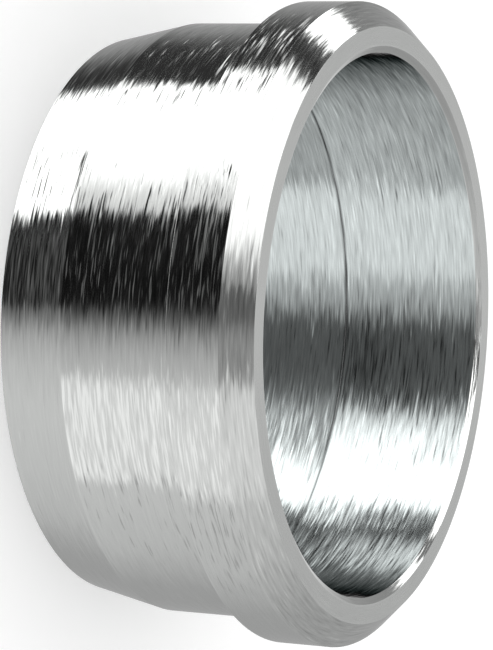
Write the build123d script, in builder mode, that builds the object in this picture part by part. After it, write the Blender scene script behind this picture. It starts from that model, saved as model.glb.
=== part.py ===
from build123d import *

import os
from math import radians, tan

# A compression bite ring for a 22 mm hydraulic tube, light series, 24 degree cone.
# It is one turned steel ring. It stands on its cutting end, with its axis along +Z and
# the origin at the centre of that end. The collar, which the nut pushes on, is at the
# top. Sizes are millimetres.

# The tube that the ring slides on
tube_diameter = 22.0
bore_clearance = 0.05  # on the radius, so that the tube pushes through by hand

# Outside: a 24 degree nose, a plain body, and a collar that stands out from it
overall_length = 11.1
body_wall = 1.15
nose_half_angle = 12.0
nose_land = 0.525  # width of the flat left round the cutting end
collar_step = 0.9
collar_length = 3.2

# The 45 degree bevel on the collar, where the seat in the nut bears
nut_bevel = 1.0

# Inside: a lead-in for the tube, then two forward-facing cutting edges. The bore is
# relieved in front of the second edge, and closes again to the first, at the nose.
lead_in_width = 0.26
lead_in_depth = 0.18
second_edge_height = 4.76
relief_depth = 0.22
relief_face_height = 0.12

# Corners left by the turning tool
shoulder_fillet = 0.08
edge_break = 0.04

bore_radius = tube_diameter / 2 + bore_clearance
body_radius = bore_radius + body_wall
collar_radius = body_radius + collar_step
nose_radius = bore_radius + nose_land
nose_length = (body_wall - nose_land) / tan(radians(nose_half_angle))
relief_radius = bore_radius + relief_depth
shoulder_height = overall_length - collar_length
relief_top = second_edge_height - relief_face_height

with BuildPart() as bite_ring:
    # The turned outside, as one half section revolved about the axis
    with BuildSketch(Plane.XZ) as outside:
        with BuildLine():
            Polyline(
                (0, 0),
                (nose_radius, 0),
                (body_radius, nose_length),
                (body_radius, shoulder_height),
                (collar_radius, shoulder_height),
                (collar_radius, overall_length),
                (0, overall_length),
                close=True,
            )
        make_face()
    revolve(axis=Axis.Z)

    # The inner and outer corners of the shoulder, between the body and the collar
    rings = bite_ring.edges().filter_by(GeomType.CIRCLE)
    shoulder_rings = rings.filter_by_position(Axis.Z, shoulder_height, shoulder_height)
    fillet(shoulder_rings.sort_by(SortBy.RADIUS)[0], shoulder_fillet)
    chamfer(shoulder_rings.sort_by(SortBy.RADIUS)[-1], edge_break)

    # The bevel that the nut bears on
    rear_ring = bite_ring.edges().filter_by(GeomType.CIRCLE).group_by(Axis.Z)[-1]
    chamfer(rear_ring, nut_bevel)

    # The plain bore, right through
    with BuildSketch(Plane.XY) as bore_outline:
        Circle(bore_radius)
    extrude(amount=overall_length, mode=Mode.SUBTRACT)

    # The relief between the two cutting edges
    with BuildSketch(Plane.XZ) as relief:
        with BuildLine():
            Polyline(
                (bore_radius, 0),
                (relief_radius, relief_top),
                (bore_radius, second_edge_height),
                close=True,
            )
        make_face()
    revolve(axis=Axis.Z, mode=Mode.SUBTRACT)

    # The lead-in at the mouth, wider than it is deep
    with BuildSketch(Plane.XZ) as lead_in:
        with BuildLine():
            Polyline(
                (bore_radius, overall_length - lead_in_depth),
                (bore_radius + lead_in_width, overall_length),
                (bore_radius, overall_length),
                close=True,
            )
        make_face()
    revolve(axis=Axis.Z, mode=Mode.SUBTRACT)

bite_ring.part.label = "bite_ring"

os.makedirs("parts", exist_ok=True)
export_step(bite_ring.part, "parts/bite_ring.step")
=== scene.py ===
from math import cos, pi, radians, sin, tan

import bpy
from mathutils import Matrix, Vector


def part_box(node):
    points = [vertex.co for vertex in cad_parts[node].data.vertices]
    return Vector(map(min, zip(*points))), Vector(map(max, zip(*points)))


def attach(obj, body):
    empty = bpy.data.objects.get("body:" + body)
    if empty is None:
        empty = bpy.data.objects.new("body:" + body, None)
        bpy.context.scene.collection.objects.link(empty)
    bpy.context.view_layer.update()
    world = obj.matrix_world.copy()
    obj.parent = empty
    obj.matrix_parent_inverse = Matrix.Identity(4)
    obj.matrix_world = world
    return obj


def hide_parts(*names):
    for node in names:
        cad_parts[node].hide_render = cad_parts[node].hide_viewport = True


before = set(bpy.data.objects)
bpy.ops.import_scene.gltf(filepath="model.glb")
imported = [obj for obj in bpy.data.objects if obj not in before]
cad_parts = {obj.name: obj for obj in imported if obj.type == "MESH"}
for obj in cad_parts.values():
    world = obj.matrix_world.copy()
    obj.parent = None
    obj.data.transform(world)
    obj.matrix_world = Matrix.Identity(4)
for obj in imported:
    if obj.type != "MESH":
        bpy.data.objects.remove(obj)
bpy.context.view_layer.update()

# A compression bite ring: one turned steel ring that stands on its cutting end, with
# its axis along Z. This script turns its fine surface, brushes it, and sets a studio
# and a camera round it. Lengths are in metres, and the studio's angles in degrees.

MM = 0.001

# The ring's sizes, from the frame and from its drawing
RING_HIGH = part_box("bite_ring")[1]
LENGTH = RING_HIGH.z
COLLAR_RADIUS = RING_HIGH.x
COLLAR_STEP = 0.9 * MM
COLLAR_LENGTH = 3.2 * MM
BODY_WALL = 1.15 * MM
BODY_RADIUS = COLLAR_RADIUS - COLLAR_STEP
BORE_RADIUS = BODY_RADIUS - BODY_WALL
NOSE_LAND = 0.525 * MM
NOSE_HALF_ANGLE = radians(12)
NOSE_LENGTH = (BODY_WALL - NOSE_LAND) / tan(NOSE_HALF_ANGLE)
NUT_BEVEL = 1.0 * MM
LEAD_IN_WIDTH = 0.26 * MM
LEAD_IN_DEPTH = 0.18 * MM
SECOND_EDGE = 4.76 * MM
RELIEF_DEPTH = 0.22 * MM
RELIEF_FACE = 0.12 * MM

# How its corners are rounded, how far their rubbing and painted shade reach, and how finely it is turned
CORNER_RADIUS = 0.03 * MM
WEAR_AND_PAINTED_SHADE_REACH = 0.08 * MM
ARC_STEPS = 4
SEGMENTS = 512


def half_section():
    """Corners of the half section, as (radius, height, wear, finish of the next flat).

    A value of 1 is a corner rubbed bright. The second cutting edge and the root of the
    relief have -1, which darkens their colour as painted shade from the step.
    """
    shoulder = LENGTH - COLLAR_LENGTH
    relief_radius = BORE_RADIUS + RELIEF_DEPTH
    return [
        (BORE_RADIUS, 0, 1, "faced_steel"),
        (BORE_RADIUS + NOSE_LAND, 0, 1, "turned_steel"),
        (BODY_RADIUS, NOSE_LENGTH, 1, "turned_steel"),
        (BODY_RADIUS, shoulder, 0, "turned_steel"),
        (COLLAR_RADIUS, shoulder, 1, "turned_steel"),
        (COLLAR_RADIUS, LENGTH - NUT_BEVEL, 1, "bevelled_steel"),
        (COLLAR_RADIUS - NUT_BEVEL, LENGTH, 1, "faced_steel"),
        (BORE_RADIUS + LEAD_IN_WIDTH, LENGTH, 1, "burnished_steel"),
        (BORE_RADIUS, LENGTH - LEAD_IN_DEPTH, 1, "bored_steel"),
        # Painted shade: the colour at these two corners is darkened, where the step would shade the
        # relief
        (BORE_RADIUS, SECOND_EDGE, -1, "bored_steel"),
        (relief_radius, SECOND_EDGE - RELIEF_FACE, -1, "bored_steel"),
    ]


def rounded(corners):
    """The closed outline, with an arc at each corner, as (point, normal, wear, finish)."""
    outline = []
    for i, (r, z, wear_and_painted_shade, finish) in enumerate(corners):
        here = Vector((r, z))
        before = (Vector(corners[i - 1][:2]) - here).normalized()
        after = (Vector(corners[(i + 1) % len(corners)][:2]) - here).normalized()
        half = before.angle(after) / 2
        centre = here + (before + after).normalized() * (CORNER_RADIUS / sin(half))
        reach = CORNER_RADIUS / tan(half)
        start = here + before * reach - centre
        turn = start.angle_signed(here + after * reach - centre)
        # The arc's centre is in the steel at a corner that stands out, and outside it at
        # the shoulder's root and the relief's.
        side = 1 if before.cross(after) < 0 else -1
        arc = []
        for k in range(ARC_STEPS + 1):
            spoke = start.copy()
            spoke.rotate(Matrix.Rotation(-turn * k / ARC_STEPS, 2))
            arc.append((centre + spoke, side * spoke.normalized(), wear_and_painted_shade, corners[i - 1][3]))
        arc[-1] = (*arc[-1][:3], finish)
        # The rubbing and the painted shade fade out over this reach on each side of the arc
        outline.append((arc[0][0] + before * WEAR_AND_PAINTED_SHADE_REACH, arc[0][1], 0.0, corners[i - 1][3]))
        outline += arc
        outline.append((arc[-1][0] + after * WEAR_AND_PAINTED_SHADE_REACH, arc[-1][1], 0.0, finish))
    return outline


def turned(name, outline, finishes):
    """Revolves the outline about Z, with the outline's own normals, wear and finishes."""
    count = len(outline)
    vertices, normals, faces = [], [], []
    for s in range(SEGMENTS):
        cosine, sine = cos(2 * pi * s / SEGMENTS), sin(2 * pi * s / SEGMENTS)
        vertices += [(p.x * cosine, p.x * sine, p.y) for p, _, _, _ in outline]
        normals += [(v.x * cosine, v.x * sine, v.y) for _, v, _, _ in outline]
        near, far = s * count, (s + 1) % SEGMENTS * count
        for i in range(count):
            j = (i + 1) % count
            faces.append((near + i, far + i, far + j, near + j))
    mesh = bpy.data.meshes.new(name)
    mesh.from_pydata(vertices, [], faces)
    for finish in finishes.values():
        mesh.materials.append(finish)
    order = list(finishes)
    slots = [order.index(finish) for _, _, _, finish in outline] * SEGMENTS
    mesh.polygons.foreach_set("material_index", slots)
    mesh.polygons.foreach_set("use_smooth", [True] * len(faces))
    # Per corner: above 0 rubbed bright, below 0 painted shade that darkens the colour
    wear_and_painted_shade = mesh.attributes.new("wear_and_painted_shade", "FLOAT", "POINT")
    wear_and_painted_shade.data.foreach_set("value", [w for _, _, w, _ in outline] * SEGMENTS)
    mesh.normals_split_custom_set_from_vertices(normals)
    piece = bpy.data.objects.new(name, mesh)
    bpy.context.scene.collection.objects.link(piece)
    return piece


class Graph:
    """A node tree that is written as formulas."""

    def __init__(self, tree):
        self.tree = tree

    def node(self, kind, settings=(), **inputs):
        """A node with its settings, and with its inputs set or linked by name."""
        made = self.tree.nodes.new(kind)
        for key, value in dict(settings).items():
            setattr(made, key, value)
        for key, value in inputs.items():
            self.feed(made.inputs[key.replace("_", " ")], value)
        return made

    def feed(self, socket, value):
        """Links an output to the socket, or sets the socket to a constant."""
        if isinstance(value, bpy.types.NodeSocket):
            self.tree.links.new(value, socket)
        else:
            socket.default_value = value

    def math(self, operation, *values):
        made = self.tree.nodes.new("ShaderNodeMath")
        made.operation = operation
        for socket, value in zip(made.inputs, values):
            self.feed(socket, value)
        return made.outputs[0]

    def vector(self, operation, *values):
        made = self.tree.nodes.new("ShaderNodeVectorMath")
        made.operation = operation
        for socket, value in zip(made.inputs, values):
            self.feed(socket, value)
        return made.outputs["Vector"]

    def scaled(self, vector, factor):
        made = self.tree.nodes.new("ShaderNodeVectorMath")
        made.operation = "SCALE"
        self.feed(made.inputs[0], vector)
        self.feed(made.inputs["Scale"], factor)
        return made.outputs["Vector"]

    def blend(self, factor, first, second):
        """The first colour where the factor is 0, and the second where it is 1."""
        made = self.tree.nodes.new("ShaderNodeMix")
        made.data_type = "RGBA"
        factor_socket, first_colour, second_colour = made.inputs[0], made.inputs[6], made.inputs[7]
        self.feed(factor_socket, factor)
        self.feed(first_colour, first)
        self.feed(second_colour, second)
        return made.outputs[2]

    def rise(self, value, low, high):
        """0 below low, 1 above high, and a smooth rise between them."""
        made = self.tree.nodes.new("ShaderNodeMapRange")
        made.interpolation_type = "SMOOTHSTEP"
        for socket, number in zip(made.inputs, (value, low, high)):
            self.feed(socket, number)
        return made.outputs[0]


def new_group(name, inputs, outputs):
    """An empty node group with those sockets: its graph, its inputs and its output node."""
    tree = bpy.data.node_groups.new(name, "ShaderNodeTree")
    for label, kind, value in inputs:
        socket = tree.interface.new_socket(label, in_out="INPUT", socket_type=kind)
        socket.default_value = value
    for label, kind in outputs:
        tree.interface.new_socket(label, in_out="OUTPUT", socket_type=kind)
    entry, leave = tree.nodes.new("NodeGroupInput"), tree.nodes.new("NodeGroupOutput")
    return Graph(tree), entry.outputs, leave.inputs


def brushing_group():
    """Fine streaks round the axis, which lean the surface a little, and a soft cloud."""
    streak_detail, strong_streaks = 1.0, 3
    cloud_scale, cloud_detail = 400.0, 3.0
    number = "NodeSocketFloat"
    lengths = [("Streak Width", number, 0.08 * MM), ("Streak Length", number, 1.2 * MM)]
    leans = [("Sway", number, 0.15), ("Tilt", number, 0.1)]
    found = [("Normal", "NodeSocketVector"), ("Streak", number), ("Cloud", number)]
    graph, given, out = new_group("circular_brushing", lengths + leans, found)

    # The radius is the noise's fourth direction, so the end faces are brushed in rings.
    place = graph.node("ShaderNodeTexCoord").outputs["Object"]
    x, y, z = graph.node("ShaderNodeSeparateXYZ", Vector=place).outputs
    x_squared, y_squared = graph.math("MULTIPLY", x, x), graph.math("MULTIPLY", y, y)
    radius = graph.math("SQRT", graph.math("ADD", x_squared, y_squared))
    along = graph.node(
        "ShaderNodeCombineXYZ",
        X=graph.math("DIVIDE", x, given["Streak Length"]),
        Y=graph.math("DIVIDE", y, given["Streak Length"]),
        Z=graph.math("DIVIDE", z, given["Streak Width"]),
    ).outputs[0]
    outward = graph.math("DIVIDE", radius, given["Streak Width"])
    hair = graph.node(
        "ShaderNodeTexNoise", {"noise_dimensions": "4D"},
        Vector=along, W=outward, Scale=1.0, Detail=streak_detail,
    )

    # Three swings about 0. Their cubes make a few streaks much stronger than the rest.
    swing = graph.vector("MULTIPLY_ADD", hair.outputs["Color"], (2, 2, 2), (-1, -1, -1))
    cube = graph.vector("MULTIPLY", swing, graph.vector("MULTIPLY", swing, swing))
    swing = graph.vector("MULTIPLY_ADD", cube, (strong_streaks,) * 3, swing)
    first, second, third = graph.node("ShaderNodeSeparateXYZ", Vector=swing).outputs

    # Sideways is round the ring. Upwards lies in the surface too, across the streaks.
    face = graph.node("ShaderNodeNewGeometry").outputs["Normal"]
    sideways = graph.vector("NORMALIZE", graph.vector("CROSS_PRODUCT", (0, 0, 1), place))
    upwards = graph.vector("NORMALIZE", graph.vector("CROSS_PRODUCT", face, sideways))
    sway = graph.scaled(sideways, graph.math("MULTIPLY", first, given["Sway"]))
    tilt = graph.scaled(upwards, graph.math("MULTIPLY", second, given["Tilt"]))
    leaned = graph.vector("ADD", face, graph.vector("ADD", sway, tilt))
    graph.feed(out["Normal"], graph.vector("NORMALIZE", leaned))
    graph.feed(out["Streak"], third)
    cloud = graph.node("ShaderNodeTexNoise", Vector=place, Scale=cloud_scale, Detail=cloud_detail)
    graph.feed(out["Cloud"], graph.math("MULTIPLY_ADD", cloud.outputs[0], 2.0, -1.0))
    return graph.tree


def steel(name, brushing, tone, roughness, sway, tilt, grain, anisotropy=0.3, edge_tint=1.0):
    """Bright steel, brushed round the axis.

    Sway and tilt lean the surface at each streak, round the ring and across the streak,
    and grain shades the streak. An edge tint of 0 is dark at glancing angles.
    """
    cloud_shade, rubbed_shade, painted_shade_depth = 0.03, 0.05, 0.65
    streak_rough, cloud_rough, rubbed_rough = 0.05, 0.04, -0.03
    quarter_turn = 0.25
    material = bpy.data.materials.new(name)
    material.use_nodes = True
    graph = Graph(material.node_tree)
    shader = material.node_tree.nodes["Principled BSDF"]
    brush = graph.node("ShaderNodeGroup", {"node_tree": brushing}, Sway=sway, Tilt=tilt)
    streak, cloud = brush.outputs["Streak"], brush.outputs["Cloud"]
    # Above 0 a corner is rubbed bright. Below 0 its colour is darkened as painted shade.
    wear_and_painted_shade = graph.node("ShaderNodeAttribute", {"attribute_name": "wear_and_painted_shade"}).outputs["Fac"]
    rubbed, dark = graph.math("MAXIMUM", wear_and_painted_shade, 0.0), graph.math("MINIMUM", wear_and_painted_shade, 0.0)

    clouded = graph.math("MULTIPLY_ADD", cloud, cloud_shade, 1.0)
    streaked = graph.math("MULTIPLY_ADD", streak, grain, clouded)
    # Painted shade at the second cutting edge and the relief's root
    darkened = graph.math("MULTIPLY_ADD", dark, painted_shade_depth, streaked)
    shade = graph.math("MULTIPLY_ADD", rubbed, rubbed_shade, darkened)
    graph.feed(shader.inputs["Base Color"], graph.scaled(tone, shade))

    uneven = graph.math("MULTIPLY_ADD", cloud, cloud_rough, roughness)
    rough = graph.math("MULTIPLY_ADD", streak, streak_rough, uneven)
    graph.feed(shader.inputs["Roughness"], graph.math("MULTIPLY_ADD", rubbed, rubbed_rough, rough))
    graph.feed(shader.inputs["Normal"], brush.outputs["Normal"])
    shader.inputs["Metallic"].default_value = 1
    shader.inputs["Anisotropic"].default_value = anisotropy
    shader.inputs["Anisotropic Rotation"].default_value = quarter_turn
    shader.inputs["Specular Tint"].default_value = (edge_tint, edge_tint, edge_tint, 1)
    round_axis = graph.node("ShaderNodeTangent", {"direction_type": "RADIAL", "axis": "Z"})
    graph.feed(shader.inputs["Tangent"], round_axis.outputs[0])
    return material


def steel_finishes():
    """The ring's finishes by name, all from one brushing.

    The walls of the bore don't mirror each other here. A dark edge tint stands for the
    shade that they would give each other.
    """
    brushing = brushing_group()
    outer, inner = (0.612, 0.622, 0.612), (0.585, 0.628, 0.625)
    finishes = {
        "turned_steel": dict(tone=outer, roughness=0.11, sway=0.045, tilt=0.11, grain=0.06),
        "bevelled_steel": dict(tone=outer, roughness=0.12, sway=0.04, tilt=0.10, grain=0.28),
        "faced_steel": dict(tone=outer, roughness=0.25, sway=0.03, tilt=0.03, grain=0.03),
        "burnished_steel": dict(tone=outer, roughness=0.10, sway=0.05, tilt=0.05, grain=0.05),
        "bored_steel": dict(
            tone=inner, roughness=0.15, sway=0.09, tilt=0.05, grain=0.40, anisotropy=0.0, edge_tint=0.0
        ),
    }
    return {name: steel(name, brushing, **values) for name, values in finishes.items()}


# The studio that the steel mirrors. Azimuth 0 is the camera's side of the ring, and 90 is
# towards -X, which is up in the picture. Elevation is up from the floor. The angles and
# levels were set from the brightness of each band of the ring in the photograph.

# The backdrop's azimuths, each with its brightness
BACKDROP = (
    (-180, 0.75), (-166, 0.41), (-141, 0.45), (-125, 0.50), (-100, 0.72), (-75, 0.81), (-45, 0.86),
    (-27, 0.77), (-14, 0.62), (-8, 0.47), (-3, 0.27), (4, 0.14), (34, 0.11), (40, 0.05), (118, 0.09),
    (148, 0.33), (166, 0.41), (180, 0.75),
)

# Each panel lies over those before it. Its numbers are the azimuth that it starts at and
# its blur there, the azimuth that it stops at and its blur there, its lowest and highest
# elevation and their blur, how far its top edge rises in each degree of azimuth, and its
# brightness.
PANELS = (
    ("low flag", 2, 3, 44, 3, -70, -52, 4, 0, 0.015),
    ("low reflector", 2, 3, 36, 3, -45, -38, 3, 0, 0.22),
    ("low top softbox", 48, 3, 115, 3, -90, -33, 0.5, 0, 2.4),
    ("front softbox", -67, 2, -25, 3, -38, -27, 4.5, 0, 1.36),
    ("front flag", 1, 6, 60, 2, -36, 10, 3, 0, 0.008),
    ("top reflector", 40, 2, 70, 4, -33, -24, 0.5, 0, 1.15),
    ("top softbox", 54, 8, 101, 1.5, -33, -24, 0.5, 0, 2.2),
    ("hair flag", 36, 2, 76, 4, -46, -27.7, 1, -0.28, 0.012),
    ("rear flag", 102, 1.5, 135, 14, -40, -24, 1, 0, 0.04),
    ("middle reflector", -112, 4, -60, 4, -23.2, 0, 0.3, 0, 0.52),
    ("middle softbox", -60, 4, -20, 4, -23.7, 0, 0.4, 0, 1.05),
    ("middle flag", 1, 3, 44, 3, -23.5, -16, 0.4, 0, 0.15),
    ("middle top softbox", 42, 12, 87, 4, -24, -20.6, 0.5, 0, 2.4),
    ("rear reflector", 108, 9, 132, 12, -22.9, -18, 0.3, 0, 1.6),
    ("inner reflector", 34, 14, 60, 10, -20.6, 0, 0.5, 0, 0.42),
    ("inner top softbox", 62, 9, 88, 4, -20.6, 0, 0.5, 0, 2.0),
    ("high softbox", -84, 3, -35, 9, 15, 83, 1, 0, 0.96),
    ("high side flag", -34, 7, 0, 10, 15, 83, 1, 0, 0.37),
    ("high front flag", -4, 10, 21, 3, 15, 83, 1, 0, 0.155),
    ("high top reflector", 19, 1, 60, 8, 15, 83, 1, 0, 0.40),
    ("high top softbox", 38, 18, 110, 2, 15, 83, 1, 0, 1.9),
    ("high rear flag", 111, 2, 120, 2, 15, 45, 2, 0, 0.05),
    ("rear lamp", 121, 1, 139, 1, 4, 22, 1, 0, 2.4),
    ("overhead lamp", 99, 3, 133, 2, 45, 90, 1, 0, 2.4),
    ("overhead flag", -96, 4, 70, 4, 83, 90, 1, 0, 0.33),
    ("overhead front flag", 60, 4, 97, 2, 70, 90, 4, 0, 0.0),
    ("far lamp", 139, 1, 149, 2, 24, 44, 1, 0, 2.0),
)


def panel_group():
    """1 where a direction meets a panel, and 0 beside it."""
    number = "NodeSocketFloat"
    names = (
        "Azimuth", "Elevation", "From", "From Blur", "To", "To Blur",
        "Low", "High", "Edge Blur", "Slant",
    )
    graph, given, out = new_group("studio_panel", [(n, number, 0.0) for n in names], [("Mask", number)])

    def step(value, edge, blur):
        return graph.rise(value, graph.math("SUBTRACT", edge, blur), graph.math("ADD", edge, blur))

    start = step(given["Azimuth"], given["From"], given["From Blur"])
    stop = step(given["Azimuth"], given["To"], given["To Blur"])
    bottom = step(given["Elevation"], given["Low"], given["Edge Blur"])
    across = graph.math("SUBTRACT", given["Azimuth"], given["From"])
    high = graph.math("MULTIPLY_ADD", across, given["Slant"], given["High"])
    top = step(given["Elevation"], high, given["Edge Blur"])
    wide, tall = graph.math("SUBTRACT", start, stop), graph.math("SUBTRACT", bottom, top)
    graph.feed(out["Mask"], graph.math("MULTIPLY", wide, tall))
    return graph.tree


def studio():
    """A white room. Only the steel mirrors the panels, which stand round the ring."""
    full_turn = 360
    world = bpy.data.worlds.new("studio")
    bpy.context.scene.world = world
    world.use_nodes = True
    graph = Graph(world.node_tree)
    direction = graph.node("ShaderNodeTexCoord").outputs["Generated"]
    x, y, z = graph.node("ShaderNodeSeparateXYZ", Vector=direction).outputs
    azimuth = graph.math("ARCTAN2", graph.math("MULTIPLY", x, -1.0), graph.math("MULTIPLY", y, -1.0))
    azimuth = graph.math("DEGREES", azimuth)
    elevation = graph.math("DEGREES", graph.math("ARCSINE", z))
    ramp = graph.node("ShaderNodeValToRGB", Fac=graph.math("MULTIPLY_ADD", azimuth, 1 / full_turn, 0.5))
    stops = ramp.color_ramp.elements
    while len(stops) < len(BACKDROP):
        stops.new(0.5)
    for stop, (angle, level) in zip(stops, BACKDROP):
        stop.position = angle / full_turn + 0.5
        stop.color = (level, level, level, 1)
    light = ramp.outputs[0]
    panel = panel_group()
    for name, start, start_blur, stop, stop_blur, low, high, edge_blur, slant, level in PANELS:
        mask = graph.node(
            "ShaderNodeGroup", {"node_tree": panel, "label": name}, Azimuth=azimuth, Elevation=elevation,
            From=start, From_Blur=start_blur, To=stop, To_Blur=stop_blur,
            Low=low, High=high, Edge_Blur=edge_blur, Slant=slant,
        ).outputs[0]
        light = graph.blend(mask, light, (level, level, level, 1))
    mirrored = graph.node("ShaderNodeLightPath").outputs["Is Glossy Ray"]
    white = (1, 1, 1, 1)
    graph.feed(world.node_tree.nodes["Background"].inputs["Color"], graph.blend(mirrored, white, light))


def camera():
    """The photograph's view. The camera lies on its side, so the ring's axis runs across."""
    elevation, tilt = radians(25.22), radians(2.664)
    focal_pixels, long_side, sensor_width = 3181.7, 650, 36
    nearest, farthest = 0.001, 10
    # Rightwards, down and away from the camera
    face_centre = Vector((0.4167, 0.0027, 9.8463)) * COLLAR_RADIUS
    axis = Vector((cos(elevation) * cos(tilt), cos(elevation) * sin(tilt), -sin(elevation)))
    across = axis.cross(Vector((0, -1, 0))).normalized()
    up = across.cross(axis)
    to_ring = Matrix((-up, -across, axis))
    data = bpy.data.cameras.new("camera")
    data.sensor_width = sensor_width
    data.lens = focal_pixels / long_side * sensor_width
    data.clip_start, data.clip_end = nearest, farthest
    rig = bpy.data.objects.new("camera", data)
    place = Matrix.Translation(Vector((0, 0, LENGTH)) - to_ring @ face_centre)
    rig.matrix_world = place @ (to_ring @ Matrix.Diagonal((1, -1, -1))).to_4x4()
    bpy.context.scene.collection.objects.link(rig)
    bpy.context.scene.camera = rig


def floor():
    """A plain pale floor, which glows a little, so that it is near white in the picture.

    The steel doesn't mirror it, because some of the studio's panels stand below it.
    """
    half, drop = 2.0, 0.01 * MM
    pale, glow = 0.95, 0.18
    mesh = bpy.data.meshes.new("floor")
    corners = [(-half, -half, -drop), (half, -half, -drop), (half, half, -drop), (-half, half, -drop)]
    mesh.from_pydata(corners, [], [(0, 1, 2, 3)])
    slab = bpy.data.objects.new("floor", mesh)
    slab.visible_glossy = False
    bpy.context.scene.collection.objects.link(slab)
    material = bpy.data.materials.new("floor")
    material.use_nodes = True
    shader = material.node_tree.nodes["Principled BSDF"]
    shader.inputs["Base Color"].default_value = (pale, pale, pale, 1)
    shader.inputs["Roughness"].default_value = 1
    shader.inputs["Specular IOR Level"].default_value = 0
    shader.inputs["Emission Color"].default_value = (1, 1, 1, 1)
    shader.inputs["Emission Strength"].default_value = glow
    mesh.materials.append(material)


ring = turned("bite_ring_turned", rounded(half_section()), steel_finishes())
# The ring mirrors the studio alone, and not itself
ring.visible_glossy = False
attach(ring, "root")
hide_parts("bite_ring")
floor()
studio()
camera()
bpy.context.scene.view_settings.view_transform = "Standard"
